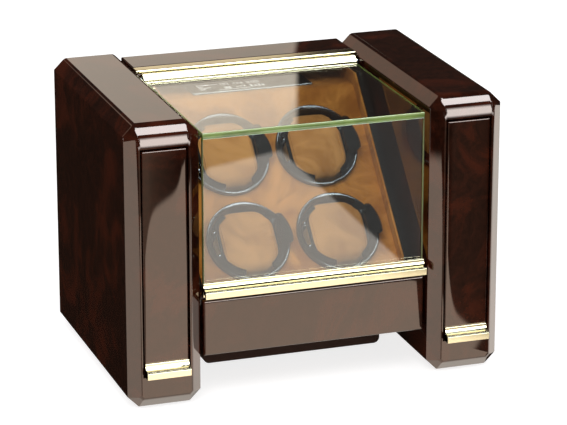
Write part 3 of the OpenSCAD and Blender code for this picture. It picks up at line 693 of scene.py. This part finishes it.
# ---------------------------------------------------------------- display
def make_display_piece():
    """The display's generic bars, boxes and battery levels, in mm from the panel's lower left corner."""
    soften(frame["nodes"]["display_panel"], 0.3)
    lo, hi = in_mm(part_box("display_panel"))
    low, high = hi[2] + 0.005, hi[2] + 0.04
    quads = []

    def patch(x0, y0, x1, y1):
        quads.append((lo[0] + x0, lo[1] + y0, lo[0] + x1, lo[1] + y1))

    def outline(x0, y0, x1, y1, t=0.8):
        patch(x0, y0, x1, y0 + t), patch(x0, y1 - t, x1, y1)
        patch(x0, y0 + t, x0 + t, y1 - t), patch(x1 - t, y0 + t, x1, y1 - t)

    for k in range(4):
        patch(9, 7.5 + 4.2 * k, 14 + (k % 2) * 6, 9.8 + 4.2 * k)
    patch(16, 20.2, 28, 22.0)
    outline(30, 17, 37, 24)
    patch(32, 19, 35, 22)
    patch(30.5, 6.5, 36.5, 12.5)
    patch(24, 3.6, 52, 5.0)
    for k in range(3):
        patch(41 + 3.2 * k, 19 - k, 43.4 + 3.2 * k, 22)
        patch(41 + 3.2 * k, 8.5, 43.2 + 3.2 * k, 10.4 + k)
    outline(53, 16.5, 64, 23.5)
    for k in range(4):
        patch(54.4 + 2.3 * k, 18, 55.9 + 2.3 * k, 22)
        patch(53 + 3.4 * k, 6, 55.4 + 3.4 * k, 12.6 - (k % 2) * 2.4)
    verts, faces = [], []
    for x0, y0, x1, y1 in quads:
        b = len(verts)
        for z in (low, high):
            verts += [(x * MM, y * MM, z * MM) for x, y in ((x0, y0), (x1, y0), (x1, y1), (x0, y1))]
        faces += [(b, b + 3, b + 2, b + 1), (b + 4, b + 5, b + 6, b + 7)]
        faces += [(b + k, b + (k + 1) % 4, b + 4 + (k + 1) % 4, b + 4 + k) for k in range(4)]
    mesh = mesh_of("display_symbols", verts, faces)
    add_piece("display_symbols", mesh, "root", [MARKS], smooth=False)


# ---------------------------------------------------------------- rotors and holders
JOINTS = {j["name"]: j for j in frame["joints"]}


def rotor_matrix(k):
    """From a rotor's own axes (X across, Y up the bed, Z out of it; metres) to the row frame."""
    j = JOINTS[f"rotor_{k}_spin"]
    n = Vector(j["axis"]).normalized()
    x = Vector((1, 0, 0))
    y = n.cross(x)
    m = Matrix((x, y, n)).transposed().to_4x4()
    m.translation = Vector(j["pos_m"])
    return m


def lathe(profile, n=96):
    """Turns an (r, h) outline in mm about Z. An r of 0 at an end closes it."""
    verts, faces, rings = [], [], []
    for r, h in profile:
        if r < 1e-6:
            rings.append([len(verts)] * n)
            verts.append((0, 0, h * MM))
        else:
            rings.append(list(range(len(verts), len(verts) + n)))
            verts += [
                (r * MM * math.cos(2 * math.pi * i / n), r * MM * math.sin(2 * math.pi * i / n), h * MM)
                for i in range(n)
            ]
    for a, b in zip(rings, rings[1:]):
        for i in range(n):
            f = [a[i], a[(i + 1) % n], b[(i + 1) % n], b[i]]
            f = [v for q, v in enumerate(f) if v not in f[:q]]
            if len(f) > 2:
                faces.append(tuple(f))
    return verts, faces


def prism(points, z0, z1, chamfer=0.0):
    """A closed (x, y) outline in mm between two heights, with its edges taken off."""
    n = len(points)
    levels = [(z0, points), (z1, points)]
    if chamfer:
        small = inset([Vector(p) for p in points], chamfer)
        levels = [(z0, small), (z0 + chamfer, points), (z1 - chamfer, points), (z1, small)]
    verts = [(p[0] * MM, p[1] * MM, z * MM) for z, ring in levels for p in ring]
    return verts, tube_faces(n, len(levels)) + end_caps(n, len(levels))


def join(parts):
    verts, faces = [], []
    for v, f in parts:
        b = len(verts)
        verts += v
        faces += [tuple(i + b for i in q) for q in f]
    return verts, faces


def placed(part, matrix):
    return [matrix @ Vector(v) for v in part[0]], part[1]


WHEEL_TEETH = 42
RING_TOP, RING_R, CUP_R, CUP_IN = -4.5, 35.0, 33.0, 31.5
CUP_BACK, CUP_FLOOR = -40.0, -38.0
WHEEL_LOW, WHEEL_TOP = -48.5, -41.5
SHAFT_LOW, SHAFT_R, COLLAR_LOW, COLLAR_R = -60.5, 3, -51.2, 5
CROSS_IN = 0.01  # how far turned parts of a rotor run into the wheel


def involute(a):
    return math.tan(a) - a


def gear_outline(teeth, phase, pressure=math.radians(20), backlash=0.12, addendum=0.8, dedendum=1.1):
    """Outline of an involute wheel of module 1, with tooth 0 at the angle phase."""
    base = teeth / 2 * math.cos(pressure)
    low, tip, root = max(base, teeth / 2 - dedendum), teeth / 2 + addendum, teeth / 2 - dedendum

    def half(r):
        flank = involute(math.acos(min(1, base / r)))
        return math.pi / 2 / teeth - backlash / teeth + involute(pressure) - flank

    radii = [low + (tip - low) * k / 3 for k in range(4)]
    out = []
    for i in range(teeth):
        mid = phase + 2 * math.pi * i / teeth
        side = [(root, half(low))] + [(r, half(r)) for r in radii]
        out += [Vector((r * math.cos(mid - a), r * math.sin(mid - a))) for r, a in side]
        out += [Vector((r * math.cos(mid + a), r * math.sin(mid + a))) for r, a in reversed(side)]
    return out


def make_rotor(k):
    """Cup with its bezel, gear wheel and shaft, turned and cut about the rotor's axis."""
    m = rotor_matrix(k)
    bezel = [
        (0, CUP_FLOOR), (29.8, CUP_FLOOR), (30.9, CUP_FLOOR + 0.3), (CUP_IN, CUP_FLOOR + 1.4),
        (CUP_IN, -7.6), (31.7, -6.4), (32.2, -5.5), (33.0, -4.8), (33.7, RING_TOP),
        (34.2, RING_TOP - 0.05), (34.65, RING_TOP - 0.3), (34.92, RING_TOP - 0.75),
        (RING_R, RING_TOP - 1.3), (RING_R, -8.7), (34.6, -9.2), (CUP_R, -9.2),
        (CUP_R, CUP_BACK + 1), (CUP_R - 1, CUP_BACK), (17, CUP_BACK), (17, WHEEL_TOP + CROSS_IN),
        (0, WHEEL_TOP + CROSS_IN),
    ]
    wheel = prism(gear_outline(WHEEL_TEETH, math.pi / 2 + math.pi / WHEEL_TEETH), WHEEL_LOW, WHEEL_TOP)
    shaft = lathe([
        (0, SHAFT_LOW), (SHAFT_R - 0.3, SHAFT_LOW), (SHAFT_R, SHAFT_LOW + 0.3), (SHAFT_R, COLLAR_LOW),
        (COLLAR_R, COLLAR_LOW), (COLLAR_R, WHEEL_LOW + CROSS_IN), (0, WHEEL_LOW + CROSS_IN),
    ], 40)
    parts = [placed(p, m) for p in (lathe(bezel), wheel, shaft)]
    name = f"rotor_drum_{k}"
    o = add_piece(name, mesh_of(name, *join(parts)), f"rotor_{k}", [BLACK], [f"rotor_{k}"])
    o.data.set_sharp_from_angle(angle=math.radians(32))


def rounded_rect(x0, x1, y0, y1, r, n=4):
    return round_corners([Vector(p) for p in ((x0, y0), (x1, y0), (x1, y1), (x0, y1))], r, n)


def arc(r, a0, a1, n=14):
    """Points round an arc of radius r from a0 to a1, in degrees."""
    turns = [math.radians(a0 + (a1 - a0) * i / n) for i in range(n + 1)]
    return [Vector((r * math.cos(a), r * math.sin(a))) for a in turns]


def plate(loops, z0, z1, chamfer):
    """A flat piece from an outer outline and any holes, (x, y) in mm, with its edges taken off."""
    verts, faces, caps = [], [], []
    for depth, loop in enumerate(loops):
        take = chamfer if depth == 0 else -chamfer
        small = inset(loop, take)
        levels, n = [(z0, small), (z0 + chamfer, loop), (z1 - chamfer, loop), (z1, small)], len(loop)
        start = len(verts)
        verts += [(p.x * MM, p.y * MM, z * MM) for z, ring in levels for p in ring]
        faces += tube_faces(n, len(levels), start)
        caps.append((small, start, start + 3 * n))
    triangles = tessellate_polygon([[Vector((p.x, p.y, 0)) for p in cap[0]] for cap in caps])
    for level in (1, 2):
        index = [c[level] + i for c in caps for i in range(len(c[0]))]
        faces += [tuple(index[i] for i in tri) for tri in triangles]
    return verts, faces


# the bracket's half length and the thickness of its base; its caps' inner radius; posts stand this far out
BRACKET_HALF, BASE_T, CAP_IN, POST_IN = 26.8, 3.0, 26.0, 24.3
CHORD = 21.6  # from the axis to the left cap's straight inner edge
TAB_R, TAB_FROM, TAB_TO = 36.8, -10, 32


def make_holder(k):
    """The plastic bracket that a cushion slides on: base bar, two end caps that follow the cup, and a tab."""
    m = rotor_matrix(k)
    low, top = CUP_FLOOR + 0.3, RING_TOP - 0.9
    outer = CUP_IN - 0.5
    parts = [prism(rounded_rect(-BRACKET_HALF, BRACKET_HALF, -9, 9, 1.2), low, low + BASE_T, 0.4)]
    # left cap: open in the middle, where the cushion's end shows
    half = math.degrees(math.acos(CHORD / CAP_IN))
    rim = arc(outer, 122, 254, 30) + arc(CAP_IN, 254, 180 + half, 8) + arc(CAP_IN, 180 - half, 122, 8)
    window = arc(outer - 0.8, 180 - 25, 180 + 25, 14)
    window += [Vector((-CHORD - 3.4, -12.6)), Vector((-CHORD - 3.4, 12.6))]
    parts.append(plate([round_corners(rim, 0.8, 2), round_corners(window, 1.0, 2)], top - 3.2, top, 0.7))
    # right cap: closed, and carried up into the tab
    rim = arc(outer, -54, 50, 30) + arc(26.4, 50, -54, 30)
    parts.append(plate([round_corners(rim, 0.8, 2)], top - 5.5, top, 0.7))
    for x, spans in ((-1, ((-12, -8.6), (8.6, 12))), (1, ((-9, 9),))):
        turn = Matrix(((0, 0, x, 0), (1, 0, 0, 0), (0, 1, 0, 0), (0, 0, 0, 1)))
        for a, b in spans:
            post = prism(rounded_rect(a, b, low + 2.5, top - 2.2, 0.5), POST_IN, BRACKET_HALF, 0.4)
            parts.append(placed(post, turn))
    for a in (-1, 1):
        ear = rounded_rect(-BRACKET_HALF, -POST_IN, *sorted((a * 8.6, a * 12)), 0.4)
        parts.append(prism(ear, low, low + BASE_T, 0.3))
    tab = [Vector((24.4, -7)), Vector((28, -11))] + arc(TAB_R, TAB_FROM, TAB_TO, 9)
    tab += [Vector((26.5, 20)), Vector((24.4, 14))]
    parts.append(prism(round_corners(tab, 3.6, 5), top + 1.6, top + 6.2, 1.6))
    foot = [Vector((24.6, -6))] + arc(31.6, -10, 30, 7) + [Vector((24.6, 13))]
    parts.append(prism(round_corners(foot, 1.5, 3), top - 1.0, top + 2.4, 0.3))
    name = f"holder_bracket_{k}"
    mesh = mesh_of(name, *join([placed(p, m) for p in parts]))
    o = add_piece(name, mesh, f"holder_{k}", [BLACK], [f"holder_frame_{k}"])
    o.data.set_sharp_from_angle(angle=math.radians(40))


CUSHION_HALF_X, CUSHION_HALF_S, CUSHION_LOW, CUSHION_TOP, CUSHION_UP = 23.4, 27.6, -34.0, -3.6, 1.0
CUSHION_REACH, CUSHION_SQUARE = 29.8, 4.5
CUSHION_VOXEL, CUSHION_GIVE, CUSHION_FRAMES = 2.6, 2.0, 20
SEAM_IN = 2.6


def cushion_part():
    """A plain watch cushion in the rotor's axes, before it is filled."""
    nx, na = 24, 64
    cz = (CUSHION_LOW + CUSHION_TOP) / 2
    verts = []
    for i in range(nx + 1):
        u = -1 + 2 * i / nx
        reach = math.sqrt(CUSHION_REACH ** 2 - (u * CUSHION_HALF_X) ** 2)
        draw = 1 - 0.05 * abs(u) ** 4
        for a in range(na):
            t = 2 * math.pi * a / na
            c, d = math.cos(t), math.sin(t)
            q = (abs(c) ** CUSHION_SQUARE + abs(d) ** CUSHION_SQUARE) ** (-1 / CUSHION_SQUARE)
            y = CUSHION_UP + q * c * min(CUSHION_HALF_S, reach) * draw
            z = cz + q * d * (CUSHION_TOP - CUSHION_LOW) / 2 * draw
            verts.append((u * CUSHION_HALF_X * MM, y * MM, z * MM))
    return verts, tube_faces(na, nx + 1) + end_caps(na, nx + 1)


def fill_cushion(mesh):
    """Blows the cushion up as cloth under pressure, and keeps each point near where it was."""
    o = bpy.data.objects.new("cushion_sim", mesh)
    bpy.context.scene.collection.objects.link(o)
    remesh = o.modifiers.new("remesh", "REMESH")
    remesh.mode, remesh.voxel_size = "VOXEL", CUSHION_VOXEL * MM
    plain = evaluated(o)
    o.modifiers.remove(remesh)
    o.data = plain
    cloth = o.modifiers.new("cloth", "CLOTH")
    c = cloth.settings
    c.quality, c.mass, c.air_damping = 6, 0.15, 2.0
    c.tension_stiffness = c.compression_stiffness = 12
    c.shear_stiffness, c.bending_stiffness = 6, 0.6
    c.use_pressure, c.uniform_pressure_force = True, 4.0
    c.effector_weights.gravity = 0
    cloth.point_cache.frame_start, cloth.point_cache.frame_end = 1, CUSHION_FRAMES
    for f in range(1, CUSHION_FRAMES + 1):
        bpy.context.scene.frame_set(f)
    full = evaluated(o)
    bpy.context.scene.frame_set(1)
    for v, new in zip(plain.vertices, [Vector(w.co) for w in full.vertices]):
        move = new - v.co
        v.co += move * min(1.0, CUSHION_GIVE * MM / max(move.length, 1e-9))
    o.modifiers.remove(cloth)
    smooth = o.modifiers.new("smooth", "SMOOTH")
    smooth.iterations, smooth.factor = 4, 0.5
    fine = o.modifiers.new("fine", "SUBSURF")
    fine.levels = fine.render_levels = 1
    done = evaluated(o)
    bpy.data.objects.remove(o)
    return done


def piping(mesh, x, radius=0.55, n=72, m=8):
    """A seam cord laid on the cushion all round, in the plane X = x mm."""
    bm = bmesh.new()
    bm.from_mesh(mesh)
    tree = BVHTree.FromBMesh(bm)
    bm.free()
    centre = Vector((x, CUSHION_UP, (CUSHION_LOW + CUSHION_TOP) / 2)) * MM
    verts = []
    for i in range(n):
        a = 2 * math.pi * i / n
        out = Vector((0, math.cos(a), math.sin(a)))
        hit = tree.ray_cast(centre + out * 0.05, -out)[0] or centre + out * 0.02
        for j in range(m):
            b = 2 * math.pi * j / m
            verts.append(hit + (out * math.cos(b) + Vector((1, 0, 0)) * math.sin(b)) * radius * MM)
    faces = [
        (i * m + j, i * m + (j + 1) % m, ((i + 1) % n) * m + (j + 1) % m, ((i + 1) % n) * m + j)
        for i in range(n) for j in range(m)
    ]
    return verts, faces


def make_cushions():
    base = fill_cushion(mesh_of("cushion", *cushion_part()))
    body = ([v.co.copy() for v in base.vertices], [tuple(f.vertices) for f in base.polygons])
    seams = [piping(base, x) for x in (-CUSHION_HALF_X + SEAM_IN, CUSHION_HALF_X - SEAM_IN)]
    verts, faces = join([body, *seams])
    for k in range(1, 5):
        m = rotor_matrix(k)
        mesh = mesh_of(f"watch_cushion_{k}", [m @ Vector(v) for v in verts], faces)
        o = add_piece(f"watch_cushion_{k}", mesh, f"holder_{k}", [CUSHION], [f"holder_cushion_{k}"])


# ---------------------------------------------------------------- everything else from the CAD
def finish_nodes():
    """Gives each CAD node the material of its slot, and the housing a duller brown of its own: painted shade."""
    slots = {part["node"]: part["material_slot"] for part in frame["record"]["subparts"]}
    for name, o in frame["nodes"].items():
        o.data.materials.clear()
        # the housing's painted shade replaces its slot's lacquer
        o.data.materials.append(HOUSING_SHADE if name == "battery_housing" else MATERIALS[slots[name]])


RIM_IN, RIM_OUT = 87.0, 93.5
RIM_START, RIM_END, ROTOR_LOW = 0.5, 175.0, 39.8
RIM_CROWN, RIM_GAP, RIM_LIFT = 1.7, 0.15, 0.02


def make_rims():
    """Polished beads along the sloping top edges of the two side panels."""
    m = rotor_matrix(3)
    half = (RIM_OUT - RIM_IN) / 2 - RIM_GAP
    outline = [Vector((half, 0))]
    for k in range(1, 24):
        a = math.pi * k / 24
        c, d = math.cos(a), math.sin(a)
        outline.append(Vector((half * math.copysign(abs(c) ** 0.6, c), RIM_CROWN * d ** 0.75)))
    outline.append(Vector((-half, 0)))
    part = prism(outline, RIM_START - ROTOR_LOW, RIM_END - ROTOR_LOW)
    lay = Matrix(((-1, 0, 0, 0), (0, 0, 1, 0), (0, 1, 0, 0), (0, 0, 0, 1)))
    for side, name in ((-1, "left"), (1, "right")):
        across = (RIM_OUT + RIM_IN) / 2 * side * MM - m.translation.x
        shift = Matrix.Translation((across, 0, RIM_LIFT * MM))
        piece = placed(part, m @ shift @ lay)
        o = add_piece(f"{name}_rim", mesh_of(f"{name}_rim", *piece), "root", [BLACK])
        o.data.set_sharp_from_angle(angle=math.radians(50))


# ---------------------------------------------------------------- camera, light, stage
# fitted to the towers' edges in the photograph; metres and radians
CAMERA_PLACE = (-0.74915, -2.20651, 0.88293)
CAMERA_TILT, CAMERA_TURN = -0.3176, -0.3305
CAMERA_LENS, CAMERA_SENSOR = 187.36, 36.0


def make_camera():
    data = bpy.data.cameras.new("camera")
    data.sensor_width = CAMERA_SENSOR
    data.lens = CAMERA_LENS
    data.clip_start, data.clip_end = 0.05, 60
    cam = bpy.data.objects.new("camera", data)
    cam.location = CAMERA_PLACE
    cam.rotation_euler = (math.pi / 2 + CAMERA_TILT, 0, CAMERA_TURN)
    bpy.context.scene.collection.objects.link(cam)
    bpy.context.scene.camera = cam


# The studio that polished surfaces mirror. Where 1 is white, its panels run up to 17, well above the plain
# level of EVEN, which lights everything diffuse. They are matched to the photograph's reflections.
EVEN, WHITE = (0.62, 0.615, 0.61), (1.0, 1.0, 1.0)
DARK_BELOW, DARK_ABOVE = (0.016, 0.011, 0.008), (0.035, 0.030, 0.027)
WALL_LEFT, WALL_MIDDLE, WALL_RIGHT = (0.66, 0.56, 0.46), (0.05, 0.045, 0.04), (0.22, 0.17, 0.14)
OVERHEAD = (13.0, 15.0, 17.0)
FRONT_PANEL = (11.5, 12.8, 14.0)
TABLE = (2.85, 2.66, 2.4)
LEFT_REFLECTOR = (2.35, 2.25, 2.1)
FLOOR_BELOW = (1.8, 1.7, 1.55)
BACK_LEFT, BACK_RIGHT, BACK_LOW = (1.24, 1.1, 0.93), (1.04, 0.93, 0.78), (0.75, 0.56, 0.44)
RIGHT_PANEL = (2.4, 2.3, 2.15)
# panels' upper and lower edges as (slope, and one point at azimuth, rise)
OVERHEAD_EDGE = (-0.2, 44.0, 63.2)
TABLE_EDGES = ((0.227, 18.87, -16.99), (0.7, 17.42, -17.32), (-0.865, 18.87, -16.99))
LEFT_EDGE = (-0.09, -74.6, -16.5)
RIGHT_EDGE = (0.06, 113.0, -15.7)


def make_world():
    """White to the camera, also through the panes; a painted studio to mirrored rays; even light to the rest.

    Angles are in degrees: rise above the horizon, front round from -Y and back round from +Y.
    """
    world = bpy.data.worlds.new("studio")
    bpy.context.scene.world = world
    world.use_nodes = True
    t = world.node_tree
    t.nodes.clear()
    at = node(t, "ShaderNodeSeparateXYZ", {0: node(t, "ShaderNodeTexCoord").outputs["Generated"]}).outputs
    deg = 180 / math.pi
    rise = times(t, calc(t, "ARCSINE", at["Z"]), deg)
    front = times(t, calc(t, "ARCTAN2", at["X"], times(t, at["Y"], -1.0)), deg)
    back = times(t, calc(t, "ARCTAN2", at["X"], at["Y"]), deg)

    def both(a, b):
        return times(t, a, b)

    def within(value, low, high, soft):
        return both(step(t, value, low - soft, low + soft), step(t, value, high - soft, high + soft, 1, 0))

    def line(slope, at_x, at_y):
        return calc(t, "MULTIPLY_ADD", front, slope, at_y - slope * at_x)

    def beneath(edge, soft):
        return step(t, calc(t, "SUBTRACT", edge, rise), -soft, soft)

    look = mix(t, step(t, rise, -30, 40), DARK_BELOW, DARK_ABOVE)
    # dim wall in front: light, then dark, then half dark from left to right
    wall = both(within(rise, -24, -13, 1.5), within(front, -30, 24, 4))
    shade = mix(t, step(t, front, 15.6, 17.0), WALL_LEFT, WALL_MIDDLE)
    shade = mix(t, step(t, front, 21.4, 22.2), shade, WALL_RIGHT)
    look = mix(t, wall, look, shade)
    # overhead softbox
    above = step(t, calc(t, "SUBTRACT", rise, line(*OVERHEAD_EDGE)), -0.6, 0.6)
    box = both(above, step(t, rise, 83, 85, 1, 0))
    look = mix(t, both(box, within(front, -100, 66, 3)), look, OVERHEAD)
    # soft panel in front, no wider than the photograph's view needs
    panel = both(step(t, rise, -15, 4), step(t, rise, 36, 54, 1, 0))
    look = mix(t, both(panel, within(front, 2, 36, 4)), look, FRONT_PANEL)
    # pale table in front, with its far corner towards the object
    first, second, third = (line(*edge) for edge in TABLE_EDGES)
    edge = calc(t, "MINIMUM", first, calc(t, "MINIMUM", second, third))
    look = mix(t, both(beneath(edge, 0.07), within(front, -38, 62, 4)), look, TABLE)
    # left reflector
    left = both(beneath(line(*LEFT_EDGE), 0.15), within(front, -100, -45, 4))
    look = mix(t, left, look, LEFT_REFLECTOR)
    # floor close below
    look = mix(t, step(t, rise, -42, -34, 1, 0), look, FLOOR_BELOW)
    # panel behind, brighter to the left
    bright = mix(t, step(t, back, 13.5, 19.5), BACK_LEFT, BACK_RIGHT)
    look = mix(t, both(within(rise, 4, 17.6, 0.7), within(back, 4, 19.2, 0.08)), look, bright)
    look = mix(t, both(within(rise, 17.6, 30, 0.7), within(back, -40, -10, 3)), look, BACK_LOW)
    # pale side panel on the right
    right = both(beneath(line(*RIGHT_EDGE), 0.15), within(front, 66, 125, 3))
    look = mix(t, right, look, RIGHT_PANEL)

    path = node(t, "ShaderNodeLightPath").outputs
    seen = mix(t, path["Is Glossy Ray"], EVEN, look)
    direct = both(path["Is Transmission Ray"], calc(t, "LESS_THAN", path["Glossy Depth"], 0.5))
    white = calc(t, "MAXIMUM", path["Is Camera Ray"], direct)
    seen = mix(t, white, seen, WHITE)
    shader = node(t, "ShaderNodeBackground", {"Color": seen, "Strength": 1.0}).outputs[0]
    out = node(t, "ShaderNodeOutputWorld")
    t.links.new(shader, out.inputs["Surface"])


FLOOR_HALF, FLOOR_GLOW = 14.0, 0.8
LAMP_AIM = (0, 0, 0.12)


def softbox(name, at, aim, size, power, colour):
    data = bpy.data.lights.new(name, "AREA")
    data.shape, data.size, data.size_y = "RECTANGLE", size[0], size[1]
    data.energy, data.color = power, colour
    o = bpy.data.objects.new(name, data)
    o.location = at
    o.rotation_euler = (Vector(aim) - Vector(at)).to_track_quat("-Z", "Y").to_euler()
    o.visible_camera = o.visible_glossy = o.visible_transmission = False
    bpy.context.scene.collection.objects.link(o)


def make_stage():
    """A pale floor that glows to rays which come to it directly, and two soft lamps."""
    m, t, s = material("floor", Roughness=0.9, Specular_IOR_Level=0.0)
    n = noise(t, 3, 3, 0.5)
    feed(t, s, "Base Color", mix(t, n, (0.44, 0.44, 0.44), (0.46, 0.46, 0.46)))
    s.inputs["Emission Color"].default_value = (1, 1, 1, 1)
    path = node(t, "ShaderNodeLightPath").outputs
    seen = calc(t, "MAXIMUM", path["Is Glossy Ray"], path["Is Transmission Ray"])
    seen = calc(t, "MAXIMUM", path["Is Camera Ray"], seen)
    seen = times(t, seen, calc(t, "LESS_THAN", path["Glossy Depth"], 0.5))
    feed(t, s, "Emission Strength", times(t, seen, FLOOR_GLOW))
    mesh = bpy.data.meshes.new("floor")
    r = FLOOR_HALF
    mesh.from_pydata([(-r, -r, 0), (r, -r, 0), (r, r, 0), (-r, r, 0)], [], [(0, 1, 2, 3)])
    mesh.materials.append(m)
    floor = bpy.data.objects.new("floor", mesh)
    floor.visible_glossy = False
    bpy.context.scene.collection.objects.link(floor)
    softbox("key", (-0.9, -1.6, 2.2), LAMP_AIM, (1.6, 1.2), 26, (1, 0.985, 0.97))
    softbox("fill", (1.8, -0.6, 1.5), LAMP_AIM, (1.2, 1.2), 9, (1, 1, 1))


finish_nodes()
make_camera()
make_world()
make_stage()
for side in ("left", "right"):
    make_tower(side)
    make_drawer(side)
make_bay()
make_hood()
make_display_piece()
for k in range(1, 5):
    make_rotor(k)
    make_holder(k)
make_cushions()
make_rims()

bpy.context.scene.view_settings.view_transform = "Standard"

bpy.context.view_layer.update()
